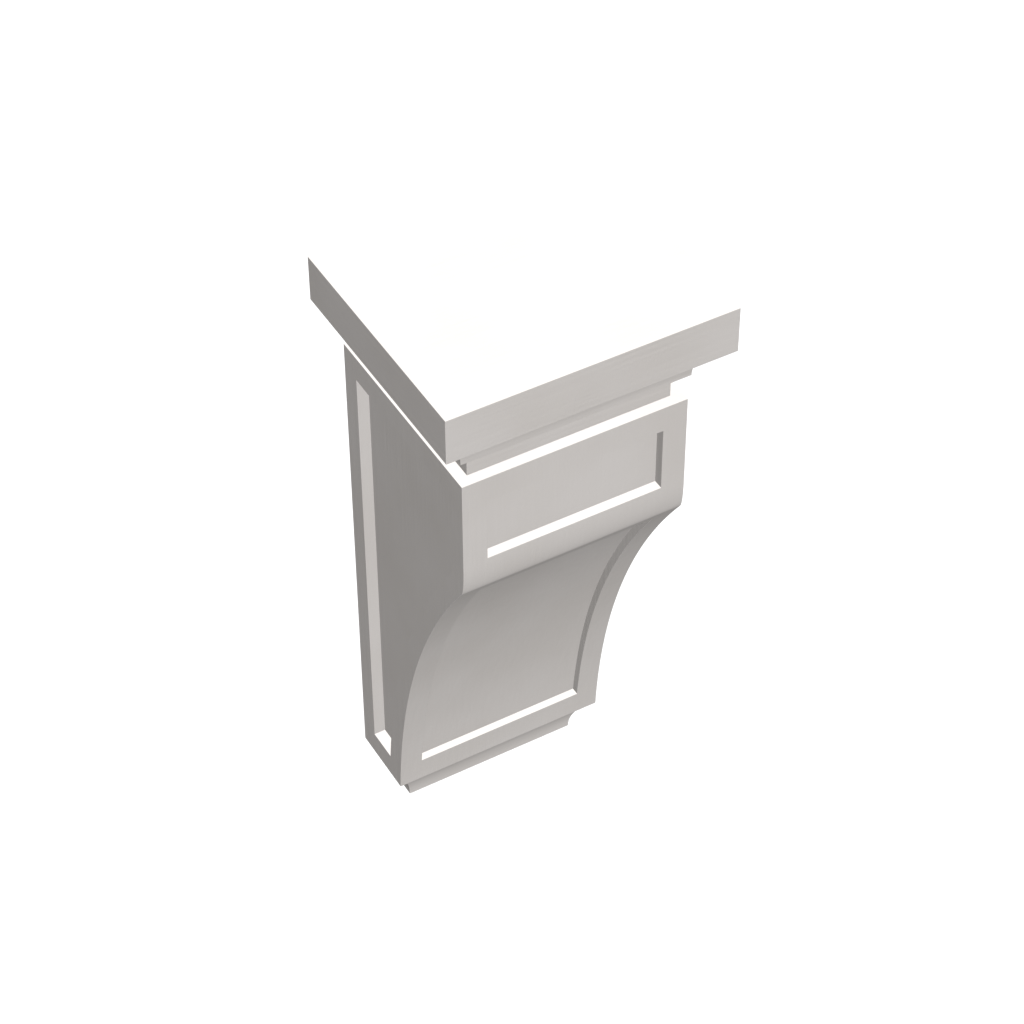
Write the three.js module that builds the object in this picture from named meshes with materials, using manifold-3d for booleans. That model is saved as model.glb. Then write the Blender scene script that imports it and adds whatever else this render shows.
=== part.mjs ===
// Painted timber corbel: a panelled body with a long hollow sweep in front, a foot moulding under it,
// a moulded neck on top of it and a plain cap board over all.
// Millimetres, +Z up. The flat back lies in the plane y = 0, the front faces -Y, and the origin is the
// middle of the body's back, where the corbel is fixed to the wall.

import * as THREE from 'three';
import { mergeVertices } from 'three/addons/utils/BufferGeometryUtils.js';
import Module from 'manifold-3d';

// Body
const bodyWidth = 127;
const bodyHeight = 294.7;
const panelDepth = 121.5; // from the wall to the upright front panel
const panelHeight = 71.3; // upright front, from the body's top to the start of the hollow
const heelDepth = 42.4; // from the wall to the hollow's lower end
const hollowRadius = 430; // the long concave sweep of the front
const turnRise = 16; // soft turn from the upright front into the hollow, from this far above their arris
const turnReach = 4; // to this far down the hollow

// Sunk panel in the upright front
const frontSideBorder = 13.6;
const frontTopBorder = 15.2;
const frontBottomBorder = 17.6;
const frontSink = 5.7;

// Sunk panel in the hollow
const hollowSideBorder = 13.3;
const hollowTopBorder = 12.7; // along the sweep
const hollowBottomBorder = 16;
const hollowSink = 4.5;

// Sunk panel in each side
const sideBackBorder = 12.6;
const sideTopBorder = 15;
const sideBottomBorder = 15;
const sideFrontBorder = 12.2; // square to the front outline
const sideSink = 6.6;

// Neck moulding: an upright band, then a hollow that flares out to the cap
const neckBandHeight = 15.6;
const neckBandInset = 6.3; // behind the body's faces
const neckFlareHeight = 20.1;
const neckFlareProud = 0.9; // lower edge of the flare, in front of the body's faces
const neckFlareSpread = 8.4; // how much further the flare stands out at its top

// Cap board
const capThickness = 27.1;
const capSideOverhang = 16.7; // beyond the body's side
const capFrontOverhang = 16.2; // beyond the body's front

// Foot moulding: a hollow from the body's outline down to a smaller foot
const footHeight = 24;
const footTaper = 11.3;

// Finish: one coat of smooth matte off-white paint over all
const paintColour = 0xdcd8d4;
const paintRoughness = 0.6;

// Joints and drawing
const jointGap = 0.3; // glue line between pieces that meet
const cutOvershoot = 5; // how far a cutting shape reaches past the face that it cuts
const hollowSteps = 30;
const turnSteps = 8;
const flareSteps = 10;

// Heights of the pieces
const bodyTop = bodyHeight / 2;
const bodyBottom = -bodyHeight / 2;
const panelBottom = bodyTop - panelHeight;
const neckBottom = bodyTop + jointGap;
const capBottom = bodyTop + neckBandHeight + neckFlareHeight;
const neckTop = capBottom - jointGap;
const footTop = bodyBottom - jointGap;

const wasm = await Module();
wasm.setup();

// A closed geometry as a solid that can be joined and cut
function toSolid(geometry) {
  geometry.deleteAttribute('normal');
  geometry.deleteAttribute('uv');
  const merged = mergeVertices(geometry);
  const vertProperties = new Float32Array(merged.attributes.position.array);
  const triVerts = new Uint32Array(merged.index.array);
  return new wasm.Manifold(new wasm.Mesh({ numProp: 3, vertProperties, triVerts }));
}

function toGeometry(solid) {
  const { vertProperties, triVerts } = solid.getMesh();
  const geometry = new THREE.BufferGeometry();
  geometry.setAttribute('position', new THREE.BufferAttribute(vertProperties, 3));
  geometry.setIndex(new THREE.BufferAttribute(triVerts, 1));
  geometry.computeVertexNormals();
  return geometry;
}

// An outline seen from the side, as points of (distance out from the wall, height), carried across X
// from its middle by the given width
function extrudeAcross(outline, width, middle = 0) {
  const geometry = new THREE.ExtrudeGeometry(new THREE.Shape(outline), { depth: width, bevelEnabled: false });
  geometry.translate(0, 0, -width / 2);
  const outFromWall = new THREE.Vector3(0, -1, 0);
  const up = new THREE.Vector3(0, 0, 1);
  const toLeft = new THREE.Vector3(-1, 0, 0);
  geometry.applyMatrix4(new THREE.Matrix4().makeBasis(outFromWall, up, toLeft));
  geometry.translate(middle, 0, 0);
  return toSolid(geometry);
}

// An outline seen from the front, as points of (x, height), carried out from the wall
function extrudeOut(outline, depth) {
  const geometry = new THREE.ExtrudeGeometry(new THREE.Shape(outline), { depth, bevelEnabled: false });
  geometry.rotateX(Math.PI / 2);
  return toSolid(geometry);
}

function point(x, y) {
  return new THREE.Vector2(x, y);
}

// Points of a circular arc in an outline, both ends included
function arcPoints(centre, radius, startAngle, endAngle, steps) {
  const { x, y } = centre;
  const clockwise = endAngle < startAngle;
  const curve = new THREE.EllipseCurve(x, y, radius, radius, startAngle, endAngle, clockwise);
  return curve.getPoints(steps);
}

// The hollow's centre: in front of the corbel, at the hollow's radius from both ends of the sweep
function findHollowCentre() {
  const top = point(panelDepth, panelBottom);
  const bottom = point(heelDepth, bodyBottom);
  const chord = top.clone().sub(bottom);
  const toCentre = point(chord.y, -chord.x).normalize();
  const reach = Math.sqrt(hollowRadius ** 2 - chord.lengthSq() / 4);
  return top.clone().add(bottom).multiplyScalar(0.5).addScaledVector(toCentre, reach);
}

const hollowCentre = findHollowCentre();

// Angle about the hollow's centre of the point at this height on a circle of this radius
function hollowAngle(height, radius) {
  return Math.PI - Math.asin((height - hollowCentre.y) / radius);
}

// Height where a line this far behind the upright front meets the sweep moved back by as much
function shoulderHeight(inset) {
  const out = hollowCentre.x - (panelDepth - inset);
  return hollowCentre.y + Math.sqrt((hollowRadius + inset) ** 2 - out ** 2);
}

function bodyOutline() {
  const heel = hollowAngle(bodyBottom, hollowRadius);
  const turnEnd = hollowAngle(panelBottom, hollowRadius) + turnReach / hollowRadius;
  const sweep = arcPoints(hollowCentre, hollowRadius, heel, turnEnd, hollowSteps);
  const arris = point(panelDepth, panelBottom);
  const turnStart = point(panelDepth, panelBottom + turnRise);
  const turn = new THREE.QuadraticBezierCurve(sweep[hollowSteps], arris, turnStart).getPoints(turnSteps);
  return [point(0, bodyBottom), ...sweep, ...turn.slice(1), point(panelDepth, bodyTop), point(0, bodyTop)];
}

function frontPanelCut() {
  const width = bodyWidth - 2 * frontSideBorder;
  const height = panelHeight - frontTopBorder - frontBottomBorder;
  const geometry = new THREE.BoxGeometry(width, frontSink + cutOvershoot, height);
  const middleOut = panelDepth + (cutOvershoot - frontSink) / 2;
  geometry.translate(0, -middleOut, bodyTop - frontTopBorder - height / 2);
  return toSolid(geometry);
}

function hollowPanelCut() {
  const ledge = bodyBottom + hollowBottomBorder;
  const top = hollowAngle(panelBottom, hollowRadius) + hollowTopBorder / hollowRadius;
  const floorRadius = hollowRadius + hollowSink;
  const openRadius = hollowRadius - cutOvershoot;
  const floor = arcPoints(hollowCentre, floorRadius, top, hollowAngle(ledge, floorRadius), hollowSteps);
  const open = arcPoints(hollowCentre, openRadius, hollowAngle(ledge, openRadius), top, hollowSteps);
  return extrudeAcross([...floor, ...open], bodyWidth - 2 * hollowSideBorder);
}

function sidePanelCut(side) {
  const low = bodyBottom + sideBottomBorder;
  const high = bodyTop - sideTopBorder;
  const radius = hollowRadius + sideFrontBorder;
  const shoulder = hollowAngle(shoulderHeight(sideFrontBorder), radius);
  const front = arcPoints(hollowCentre, radius, hollowAngle(low, radius), shoulder, hollowSteps);
  const outline = [
    point(sideBackBorder, low),
    ...front,
    point(panelDepth - sideFrontBorder, high),
    point(sideBackBorder, high),
  ];
  const middle = bodyWidth / 2 + (cutOvershoot - sideSink) / 2;
  return extrudeAcross(outline, sideSink + cutOvershoot, side * middle);
}

function bodyGeometry() {
  const block = extrudeAcross(bodyOutline(), bodyWidth);
  const cuts = [frontPanelCut(), hollowPanelCut(), sidePanelCut(-1), sidePanelCut(1)];
  return toGeometry(cuts.reduce((solid, cut) => solid.subtract(cut), block));
}

// A moulding mitred round the front and both sides of a rectangle that stands against the wall.
// The profile runs upward, as points of (distance beyond the rectangle, height).
function mouldingGeometry(width, depth, profile) {
  const low = profile[0].y;
  const high = profile[profile.length - 1].y;
  const fromSide = profile.map((p) => point(depth + p.x, p.y));
  const right = profile.map((p) => point(width / 2 + p.x, p.y));
  const left = right.map((p) => point(-p.x, p.y)).reverse();
  const spread = Math.max(...profile.map((p) => p.x));
  const reach = spread + cutOvershoot;
  const sideView = extrudeAcross([point(0, low), ...fromSide, point(0, high)], width + 2 * reach);
  const frontView = extrudeOut([...right, ...left], depth + reach);
  return toGeometry(sideView.intersect(frontView));
}

// A flare that starts upright and curves outward as it rises, as a circular arc
function flareProfile(start, height, spread, shownHeight) {
  const radius = (height ** 2 + spread ** 2) / (2 * spread);
  const centre = point(start.x + radius, start.y);
  return arcPoints(centre, radius, Math.PI, Math.PI - Math.asin(shownHeight / radius), flareSteps);
}

function neckGeometry() {
  const step = bodyTop + neckBandHeight;
  const flareStart = point(neckFlareProud, step);
  const shown = neckTop - step;
  const profile = [
    point(-neckBandInset, neckBottom),
    point(-neckBandInset, step),
    ...flareProfile(flareStart, neckFlareHeight, neckFlareSpread, shown),
  ];
  return mouldingGeometry(bodyWidth, panelDepth, profile);
}

function footGeometry() {
  const start = point(-footTaper, bodyBottom - footHeight);
  const shown = footTop - start.y;
  return mouldingGeometry(bodyWidth, heelDepth, flareProfile(start, footHeight, footTaper, shown));
}

function capGeometry() {
  const depth = panelDepth + capFrontOverhang;
  const geometry = new THREE.BoxGeometry(bodyWidth + 2 * capSideOverhang, depth, capThickness);
  geometry.translate(0, -depth / 2, capThickness / 2);
  return geometry;
}

const corbel = new THREE.Group();

function addPiece(name, geometry) {
  const paint = { color: paintColour, roughness: paintRoughness, metalness: 0 };
  const mesh = new THREE.Mesh(geometry, new THREE.MeshStandardMaterial(paint));
  mesh.name = name;
  corbel.add(mesh);
  return mesh;
}

addPiece('corbel_body', bodyGeometry());
addPiece('neck_moulding', neckGeometry());
addPiece('foot_moulding', footGeometry());
addPiece('cap_board', capGeometry()).position.z = capBottom;

export default corbel;
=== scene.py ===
import math

import bmesh
import bpy
from mathutils import Matrix, Vector


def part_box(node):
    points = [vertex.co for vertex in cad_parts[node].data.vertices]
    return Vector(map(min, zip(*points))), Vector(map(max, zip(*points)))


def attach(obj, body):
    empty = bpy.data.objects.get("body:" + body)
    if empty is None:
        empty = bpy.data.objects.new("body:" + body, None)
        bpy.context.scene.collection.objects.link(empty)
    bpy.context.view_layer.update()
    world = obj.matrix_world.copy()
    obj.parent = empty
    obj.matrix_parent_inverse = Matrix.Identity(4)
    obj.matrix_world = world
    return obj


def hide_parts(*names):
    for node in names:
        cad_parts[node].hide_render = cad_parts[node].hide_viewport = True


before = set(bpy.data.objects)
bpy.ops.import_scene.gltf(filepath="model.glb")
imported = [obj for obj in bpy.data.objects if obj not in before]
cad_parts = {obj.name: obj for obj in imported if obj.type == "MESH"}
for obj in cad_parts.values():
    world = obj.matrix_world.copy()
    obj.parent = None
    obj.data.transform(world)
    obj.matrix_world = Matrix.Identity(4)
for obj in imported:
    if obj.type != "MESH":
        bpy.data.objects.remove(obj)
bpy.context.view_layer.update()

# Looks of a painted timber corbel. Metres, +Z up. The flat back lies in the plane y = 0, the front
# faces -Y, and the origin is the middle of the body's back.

BODY_LOW, BODY_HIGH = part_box("corbel_body")
CAP_LOW, CAP_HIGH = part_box("cap_board")

BODY_HALF = BODY_HIGH.x
BODY_TOP = BODY_HIGH.z
BODY_BOTTOM = BODY_LOW.z
PANEL_DEPTH = -BODY_LOW.y   # from the wall to the upright front

# Axes of the frame
ACROSS = 0
OUTWARD = 1
UPWARD = 2

# Body outline
PANEL_HEIGHT = 0.0713       # upright front above the hollow
HEEL_DEPTH = 0.0424         # from the wall to the hollow's lower end
HOLLOW_RADIUS = 0.43
TURN_RISE = 0.016           # soft turn into the hollow: starts this far above the arris
TURN_REACH = 0.004          # and ends this far down the hollow
PANEL_BOTTOM = BODY_TOP - PANEL_HEIGHT

# Sunk panel in the upright front
FRONT_SIDE_BORDER = 0.0136
FRONT_TOP_BORDER = 0.0152
FRONT_BOTTOM_BORDER = 0.0176
FRONT_SINK = 0.0057

# Sunk panel in the hollow
HOLLOW_SIDE_BORDER = 0.0133
HOLLOW_TOP_BORDER = 0.0127  # along the sweep
HOLLOW_BOTTOM_BORDER = 0.016
HOLLOW_SINK = 0.0045

# Sunk panel in each side
SIDE_BACK_BORDER = 0.0126
SIDE_TOP_BORDER = 0.015
SIDE_BOTTOM_BORDER = 0.015
SIDE_FRONT_BORDER = 0.0122  # square to the front outline
SIDE_SINK = 0.0066

# Neck and foot mouldings
NECK_BAND_HEIGHT = 0.0156
NECK_BAND_INSET = 0.0063    # behind the body's faces
NECK_FLARE_HEIGHT = 0.0201
NECK_FLARE_PROUD = 0.0009   # lower edge of the flare, in front of the body's faces
NECK_FLARE_SPREAD = 0.0084  # how much further the flare stands out at its top
JOINT_LAP = 0.0003          # how far the neck laps into its neighbours, so its joints are painted over
FOOT_HEIGHT = 0.024
FOOT_TAPER = 0.0113

# Sanded arrises
EASED_EDGE = 0.00025
EASED_STEPS = 3
EASED_ANGLE = math.radians(25)  # an edge that turns less than this is part of a curve

# Making of the shapes
CUT_REACH = 0.005           # how far a cutting shape reaches past the face that it cuts
HOLLOW_STEPS = 96
TURN_STEPS = 32
FLARE_STEPS = 20

# Paint. Scales are per metre, and heights are in metres.
PAINT = (0.84, 0.802, 0.775, 1)
PAINT_SHADED = (0.80, 0.760, 0.728, 1)
PAINT_SPECULAR = 0.35
ROUGHNESS_LOW = 0.5         # the roughness follows the brush marks, from this
ROUGHNESS_HIGH = 0.68       # to this
MOTTLE_SCALE = 14           # a slight change of tone over the surface
MOTTLE_DETAIL = 3
MOTTLE_LOW = 0.35           # noise from which the paint is no longer all shaded
MOTTLE_HIGH = 0.65          # noise from which it has its full tone
BRUSH_SCALE = 420
BRUSH_DETAIL = 3
BRUSH_STRETCH = 0.04        # scale along a brush mark, as a share of the scale across it
BRUSH_HEIGHT = 0.00025
STIPPLE_SCALE = 650
STIPPLE_DETAIL = 2
STIPPLE_HEIGHT = 0.00018
BUMP_STRENGTH = 0.4
SIDE_FACING = 0.6           # a surface is on a side where its normal leans further along X than this

# Camera, as the photograph was taken
LENS = 106.5                # millimetres
SENSOR = 36                 # width, millimetres
AZIMUTH = math.radians(-29.668)
ELEVATION = math.radians(43.875)
TILT = math.radians(0.264)
DISTANCE = 1.5384
AIM_RIGHT = 0.02877         # from the middle of the body's top back edge, to the picture's right
AIM_UP = -0.10652           # and up in the picture

# Studio. A sun's azimuth and elevation are in degrees.
SUNS = [
    {"name": "overhead_light", "azimuth": 0, "elevation": 90, "strength": 3},
    {"name": "front_light", "azimuth": -19.6, "elevation": 35.5, "strength": 2.15},
    {"name": "low_front_light", "azimuth": -45, "elevation": -30, "strength": 0.48},
    {"name": "fill_light", "azimuth": 150, "elevation": -20, "strength": 1.5},
]
SUN_SPREAD = math.radians(20)
WORLD_STRENGTH = 0.03
WHITE = (1, 1, 1, 1)
BLACK = (0, 0, 0, 1)
FLOOR_COLOUR = (0.9, 0.9, 0.9, 1)
FLOOR_ROUGHNESS = 0.9
FLOOR_REACH = 6             # from its middle to each edge
FLOOR_DROP = 2              # the corbel hangs on a wall, this high above the floor
BACKDROP_RADIUS = 20
BACKDROP_SEGMENTS = 32
BACKDROP_RINGS = 16


# Outlines

def arc(centre, radius, start, end, steps):
    """Points of a circular arc, both ends included."""
    angles = [start + (end - start) * i / steps for i in range(steps + 1)]
    return [(centre[0] + radius * math.cos(a), centre[1] + radius * math.sin(a)) for a in angles]


def parabola(start, middle, end, steps):
    """Points of a parabola that leaves start towards middle and comes to end from it, both included."""
    points = []
    for i in range(steps + 1):
        share = i / steps
        leaving = Vector(start).lerp(Vector(middle), share)
        coming = Vector(middle).lerp(Vector(end), share)
        points.append(tuple(leaving.lerp(coming, share)))
    return points


def flare(start, height, spread):
    """A hollow that starts upright and curves outward as it rises."""
    radius = (height ** 2 + spread ** 2) / (2 * spread)
    centre = (start[0] + radius, start[1])
    return arc(centre, radius, math.pi, math.pi - math.asin(height / radius), FLARE_STEPS)


def find_hollow_centre():
    """The centre of the long sweep, as (distance out from the wall, height)."""
    top = Vector((PANEL_DEPTH, PANEL_BOTTOM))
    bottom = Vector((HEEL_DEPTH, BODY_BOTTOM))
    chord = top - bottom
    to_centre = Vector((chord.y, -chord.x)).normalized()
    reach = math.sqrt(HOLLOW_RADIUS ** 2 - chord.length_squared / 4)
    return (top + bottom) / 2 + to_centre * reach


HOLLOW_CENTRE = find_hollow_centre()


def hollow_angle(height, radius):
    """Angle about the hollow's centre of the point at this height on a circle of this radius."""
    return math.pi - math.asin((height - HOLLOW_CENTRE.y) / radius)


def shoulder_height(inset):
    """Height where a line this far behind the upright front meets the sweep moved back by as much."""
    out = HOLLOW_CENTRE.x - (PANEL_DEPTH - inset)
    return HOLLOW_CENTRE.y + math.sqrt((HOLLOW_RADIUS + inset) ** 2 - out ** 2)


def body_outline():
    """The body from the side, as points of (distance out, height)."""
    heel = hollow_angle(BODY_BOTTOM, HOLLOW_RADIUS)
    turn_end = hollow_angle(PANEL_BOTTOM, HOLLOW_RADIUS) + TURN_REACH / HOLLOW_RADIUS
    sweep = arc(HOLLOW_CENTRE, HOLLOW_RADIUS, heel, turn_end, HOLLOW_STEPS)
    turn_start = (PANEL_DEPTH, PANEL_BOTTOM + TURN_RISE)
    turn = parabola(sweep[-1], (PANEL_DEPTH, PANEL_BOTTOM), turn_start, TURN_STEPS)
    return [(0, BODY_BOTTOM), *sweep, *turn[1:], (PANEL_DEPTH, BODY_TOP), (0, BODY_TOP)]


# Solids

def new_object(name, data):
    obj = bpy.data.objects.new(name, data)
    bpy.context.scene.collection.objects.link(obj)
    return obj


def mesh_from(name, bm):
    bmesh.ops.recalc_face_normals(bm, faces=bm.faces)
    mesh = bpy.data.meshes.new(name)
    bm.to_mesh(mesh)
    bm.free()
    return mesh


def prism(name, outline, low_x, high_x):
    """A side outline, as points of (distance out, height), carried across from low_x to high_x."""
    bm = bmesh.new()
    ends = [[bm.verts.new((x, -out, height)) for out, height in outline] for x in (low_x, high_x)]
    for end in ends:
        bm.faces.new(end)
    count = len(outline)
    for i in range(count):
        j = (i + 1) % count
        bm.faces.new((ends[0][i], ends[0][j], ends[1][j], ends[1][i]))
    return new_object(name, mesh_from(name, bm))


def finished(obj, cutters=()):
    """Cuts the sunk panels, eases every arris and applies the result to the mesh."""
    for cutter in cutters:
        cut = obj.modifiers.new("cut", "BOOLEAN")
        cut.operation = "DIFFERENCE"
        cut.solver = "EXACT"
        cut.object = cutter
    ease = obj.modifiers.new("ease", "BEVEL")
    ease.width = EASED_EDGE
    ease.segments = EASED_STEPS
    ease.limit_method = "ANGLE"
    ease.angle_limit = EASED_ANGLE
    # Keeps the flat faces flat beside their eased arrises
    obj.modifiers.new("even", "WEIGHTED_NORMAL")
    for face in obj.data.polygons:
        face.use_smooth = True
    bpy.context.view_layer.update()
    graph = bpy.context.evaluated_depsgraph_get()
    mesh = bpy.data.meshes.new_from_object(obj.evaluated_get(graph))
    obj.modifiers.clear()
    obj.data = mesh
    for cutter in cutters:
        bpy.data.objects.remove(cutter)
    return obj


def moulding(name, half_width, depth, profile):
    """A moulding mitred round the front and both sides of a rectangle against the wall.

    The profile runs upward, as points of (distance beyond the rectangle, height)."""
    bm = bmesh.new()
    rings = []
    for beyond, height in profile:
        x = half_width + beyond
        y = -(depth + beyond)
        corners = [(-x, 0, height), (-x, y, height), (x, y, height), (x, 0, height)]
        rings.append([bm.verts.new(corner) for corner in corners])
    for low, high in zip(rings, rings[1:]):
        count = len(low)
        for i in range(count):
            j = (i + 1) % count
            bm.faces.new((low[i], low[j], high[j], high[i]))
    bm.faces.new(rings[0])
    bm.faces.new(rings[-1])
    return finished(new_object(name, mesh_from(name, bm)))


# Pieces

def front_panel_cut():
    low = PANEL_BOTTOM + FRONT_BOTTOM_BORDER
    high = BODY_TOP - FRONT_TOP_BORDER
    floor = PANEL_DEPTH - FRONT_SINK
    clear = PANEL_DEPTH + CUT_REACH
    half = BODY_HALF - FRONT_SIDE_BORDER
    return prism("front_cut", [(floor, low), (clear, low), (clear, high), (floor, high)], -half, half)


def hollow_panel_cut():
    ledge = BODY_BOTTOM + HOLLOW_BOTTOM_BORDER
    top = hollow_angle(PANEL_BOTTOM, HOLLOW_RADIUS) + HOLLOW_TOP_BORDER / HOLLOW_RADIUS
    floor = HOLLOW_RADIUS + HOLLOW_SINK
    clear = HOLLOW_RADIUS - CUT_REACH
    back = arc(HOLLOW_CENTRE, floor, top, hollow_angle(ledge, floor), HOLLOW_STEPS)
    front = arc(HOLLOW_CENTRE, clear, hollow_angle(ledge, clear), top, HOLLOW_STEPS)
    half = BODY_HALF - HOLLOW_SIDE_BORDER
    return prism("hollow_cut", back + front, -half, half)


def side_panel_cut(side):
    """The cut in the left side, where side is -1, or in the right side, where it is 1."""
    low = BODY_BOTTOM + SIDE_BOTTOM_BORDER
    high = BODY_TOP - SIDE_TOP_BORDER
    radius = HOLLOW_RADIUS + SIDE_FRONT_BORDER
    shoulder = hollow_angle(shoulder_height(SIDE_FRONT_BORDER), radius)
    front = arc(HOLLOW_CENTRE, radius, hollow_angle(low, radius), shoulder, HOLLOW_STEPS)
    outline = [
        (SIDE_BACK_BORDER, low),
        *front,
        (PANEL_DEPTH - SIDE_FRONT_BORDER, high),
        (SIDE_BACK_BORDER, high),
    ]
    inner = side * (BODY_HALF - SIDE_SINK)
    outer = side * (BODY_HALF + CUT_REACH)
    return prism("side_cut", outline, min(inner, outer), max(inner, outer))


def make_body():
    block = prism("corbel_body_painted", body_outline(), -BODY_HALF, BODY_HALF)
    cutters = [front_panel_cut(), hollow_panel_cut(), side_panel_cut(-1), side_panel_cut(1)]
    return finished(block, cutters)


def make_neck():
    step = BODY_TOP + NECK_BAND_HEIGHT
    profile = [
        (-NECK_BAND_INSET, BODY_TOP - JOINT_LAP),
        (-NECK_BAND_INSET, step),
        *flare((NECK_FLARE_PROUD, step), NECK_FLARE_HEIGHT + JOINT_LAP, NECK_FLARE_SPREAD),
    ]
    return moulding("neck_moulding_painted", BODY_HALF, PANEL_DEPTH, profile)


def make_foot():
    start = (-FOOT_TAPER, BODY_BOTTOM - FOOT_HEIGHT)
    profile = flare(start, FOOT_HEIGHT, FOOT_TAPER)
    return moulding("foot_moulding_painted", BODY_HALF, HEEL_DEPTH, profile)


def make_cap():
    outline = [(0, CAP_LOW.z), (-CAP_LOW.y, CAP_LOW.z), (-CAP_LOW.y, CAP_HIGH.z), (0, CAP_HIGH.z)]
    return finished(prism("cap_board_painted", outline, CAP_LOW.x, CAP_HIGH.x))


# Paint

def new_material(name):
    """A material and its shader."""
    material = bpy.data.materials.new(name)
    material.use_nodes = True
    return material, material.node_tree.nodes["Principled BSDF"]


def painted_wood(name, front_brush_axis, side_brush_axis):
    """Matte off-white paint over smooth timber: roller stipple and faint brush marks, which run along
    one axis on the front, back, top and underside and along another on the sides."""
    material, shader = new_material(name)
    shader.inputs["Specular IOR Level"].default_value = PAINT_SPECULAR
    nodes = material.node_tree.nodes
    links = material.node_tree.links
    place = nodes.new("ShaderNodeTexCoord")

    def noise(scale, detail, stretch=(1, 1, 1)):
        mapping = nodes.new("ShaderNodeMapping")
        mapping.inputs["Scale"].default_value = stretch
        links.new(place.outputs["Object"], mapping.inputs["Vector"])
        texture = nodes.new("ShaderNodeTexNoise")
        texture.inputs["Scale"].default_value = scale
        texture.inputs["Detail"].default_value = detail
        links.new(mapping.outputs["Vector"], texture.inputs["Vector"])
        return texture.outputs["Fac"]

    def brush_marks(axis):
        stretch = [1, 1, 1]
        stretch[axis] = BRUSH_STRETCH
        return noise(BRUSH_SCALE, BRUSH_DETAIL, stretch)

    def is_side():
        facing = nodes.new("ShaderNodeSeparateXYZ")
        links.new(place.outputs["Normal"], facing.inputs["Vector"])
        sideways = nodes.new("ShaderNodeMath")
        sideways.operation = "ABSOLUTE"
        links.new(facing.outputs["X"], sideways.inputs[0])
        past = nodes.new("ShaderNodeMath")
        past.operation = "GREATER_THAN"
        past.inputs[1].default_value = SIDE_FACING
        links.new(sideways.outputs["Value"], past.inputs[0])
        return past.outputs["Value"]

    def add_bump(height, distance, normal=None):
        bump = nodes.new("ShaderNodeBump")
        bump.inputs["Distance"].default_value = distance
        bump.inputs["Strength"].default_value = BUMP_STRENGTH
        links.new(height, bump.inputs["Height"])
        if normal:
            links.new(normal, bump.inputs["Normal"])
        return bump.outputs["Normal"]

    brushed = nodes.new("ShaderNodeMix")
    links.new(is_side(), brushed.inputs["Factor"])
    links.new(brush_marks(front_brush_axis), brushed.inputs["A"])
    links.new(brush_marks(side_brush_axis), brushed.inputs["B"])
    brush = brushed.outputs["Result"]

    spread = nodes.new("ShaderNodeMapRange")
    spread.inputs["From Min"].default_value = MOTTLE_LOW
    spread.inputs["From Max"].default_value = MOTTLE_HIGH
    links.new(noise(MOTTLE_SCALE, MOTTLE_DETAIL), spread.inputs["Value"])
    tone = nodes.new("ShaderNodeMix")
    tone.data_type = "RGBA"
    tone.inputs["A"].default_value = PAINT_SHADED
    tone.inputs["B"].default_value = PAINT
    links.new(spread.outputs["Result"], tone.inputs["Factor"])
    links.new(tone.outputs["Result"], shader.inputs["Base Color"])

    roughness = nodes.new("ShaderNodeMapRange")
    roughness.inputs["To Min"].default_value = ROUGHNESS_LOW
    roughness.inputs["To Max"].default_value = ROUGHNESS_HIGH
    links.new(brush, roughness.inputs["Value"])
    links.new(roughness.outputs["Result"], shader.inputs["Roughness"])

    brushed_normal = add_bump(brush, BRUSH_HEIGHT)
    stippled_normal = add_bump(noise(STIPPLE_SCALE, STIPPLE_DETAIL), STIPPLE_HEIGHT, brushed_normal)
    links.new(stippled_normal, shader.inputs["Normal"])
    return material


def dress(piece, node, front_brush_axis, side_brush_axis):
    """Paints a piece and lets it stand for its node."""
    piece.data.materials.clear()
    piece.data.materials.append(painted_wood(node + "_paint", front_brush_axis, side_brush_axis))
    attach(piece, "root")
    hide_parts(node)


# Camera and studio

def look_back(azimuth, elevation):
    """Unit vector from the object towards someone who looks at it from this side."""
    level = math.cos(elevation)
    return Vector((math.sin(azimuth) * level, -math.cos(azimuth) * level, math.sin(elevation)))


def make_camera():
    back = look_back(AZIMUTH, ELEVATION)
    right = Vector((math.cos(AZIMUTH), math.sin(AZIMUTH), 0))
    up = back.cross(right)
    data = bpy.data.cameras.new("camera")
    data.lens = LENS
    data.sensor_width = SENSOR
    camera = new_object("camera", data)
    place = Vector((0, 0, BODY_TOP)) + right * AIM_RIGHT + up * AIM_UP + back * DISTANCE
    level = Matrix((right, up, back)).transposed().to_4x4()
    camera.matrix_world = Matrix.Translation(place) @ level @ Matrix.Rotation(-TILT, 4, "Z")
    bpy.context.scene.camera = camera


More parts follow.
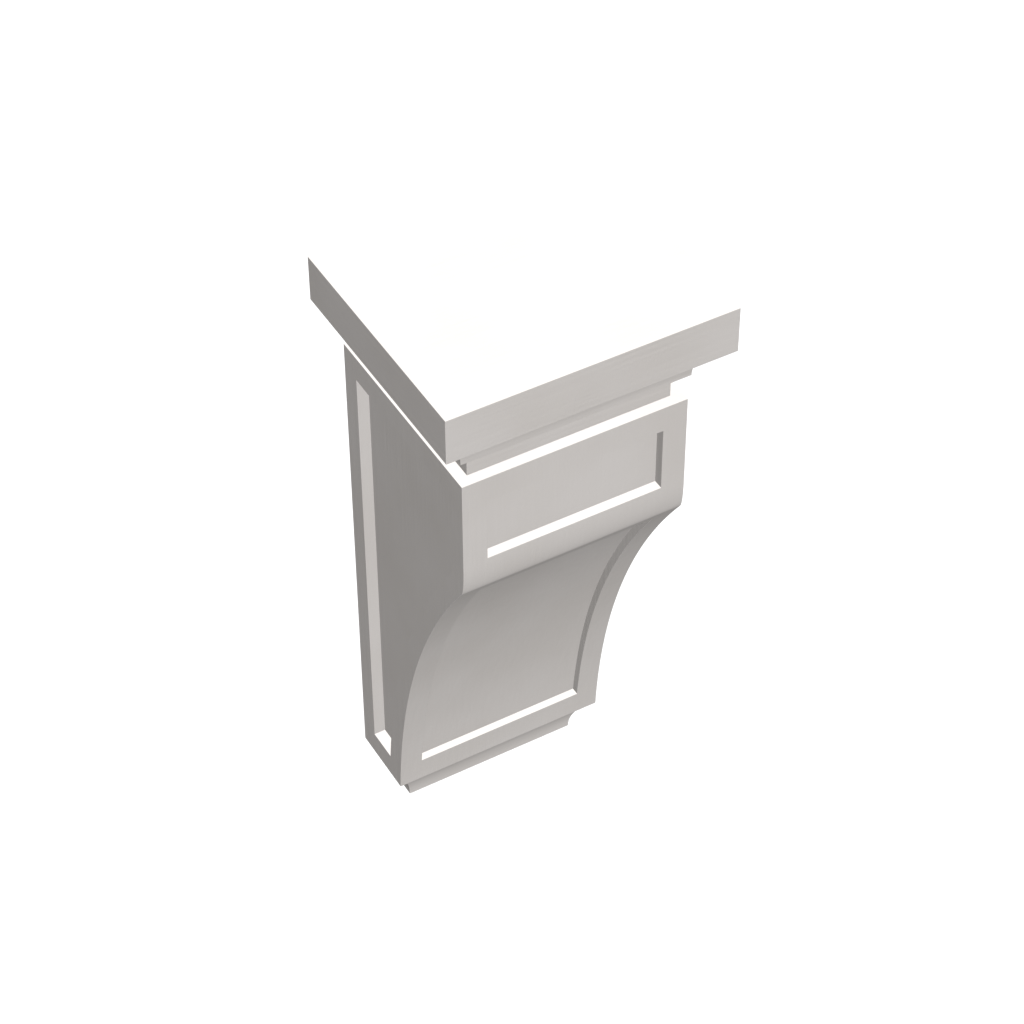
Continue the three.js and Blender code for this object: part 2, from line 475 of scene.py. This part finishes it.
def add_sun(name, azimuth, elevation, strength):
    """A far soft light without shadows or bounced light, from this side and this far above level."""
    light = bpy.data.lights.new(name, "SUN")
    light.energy = strength
    light.angle = SUN_SPREAD
    light.use_shadow = False
    light.cycles.max_bounces = 0
    lamp = new_object(name, light)
    back = look_back(math.radians(azimuth), math.radians(elevation))
    lamp.rotation_euler = back.to_track_quat("Z", "Y").to_euler()


def make_floor():
    bm = bmesh.new()
    bmesh.ops.create_grid(bm, x_segments=1, y_segments=1, size=FLOOR_REACH)
    floor = new_object("floor", mesh_from("floor", bm))
    floor.location.z = BODY_BOTTOM - FLOOR_DROP
    floor.visible_diffuse = False
    material, shader = new_material("floor_paint")
    shader.inputs["Base Color"].default_value = FLOOR_COLOUR
    shader.inputs["Roughness"].default_value = FLOOR_ROUGHNESS
    floor.data.materials.append(material)


def make_backdrop():
    """A plain white surround, seen by the camera alone."""
    bm = bmesh.new()
    bmesh.ops.create_uvsphere(
        bm, u_segments=BACKDROP_SEGMENTS, v_segments=BACKDROP_RINGS, radius=BACKDROP_RADIUS
    )
    backdrop = new_object("backdrop", mesh_from("backdrop", bm))
    backdrop.visible_diffuse = False
    backdrop.visible_glossy = False
    backdrop.visible_shadow = False
    material, shader = new_material("backdrop_white")
    material.cycles.emission_sampling = "NONE"
    shader.inputs["Base Color"].default_value = BLACK
    shader.inputs["Emission Color"].default_value = WHITE
    shader.inputs["Emission Strength"].default_value = 1
    backdrop.data.materials.append(material)


def make_world():
    world = bpy.data.worlds.new("studio")
    world.use_nodes = True
    background = world.node_tree.nodes["Background"]
    background.inputs["Color"].default_value = WHITE
    background.inputs["Strength"].default_value = WORLD_STRENGTH
    bpy.context.scene.world = world


make_camera()
dress(make_body(), "corbel_body", UPWARD, UPWARD)
dress(make_neck(), "neck_moulding", ACROSS, OUTWARD)
dress(make_foot(), "foot_moulding", ACROSS, OUTWARD)
dress(make_cap(), "cap_board", ACROSS, OUTWARD)
make_floor()
make_backdrop()
make_world()
for sun in SUNS:
    add_sun(**sun)
bpy.context.scene.view_settings.view_transform = "Standard"
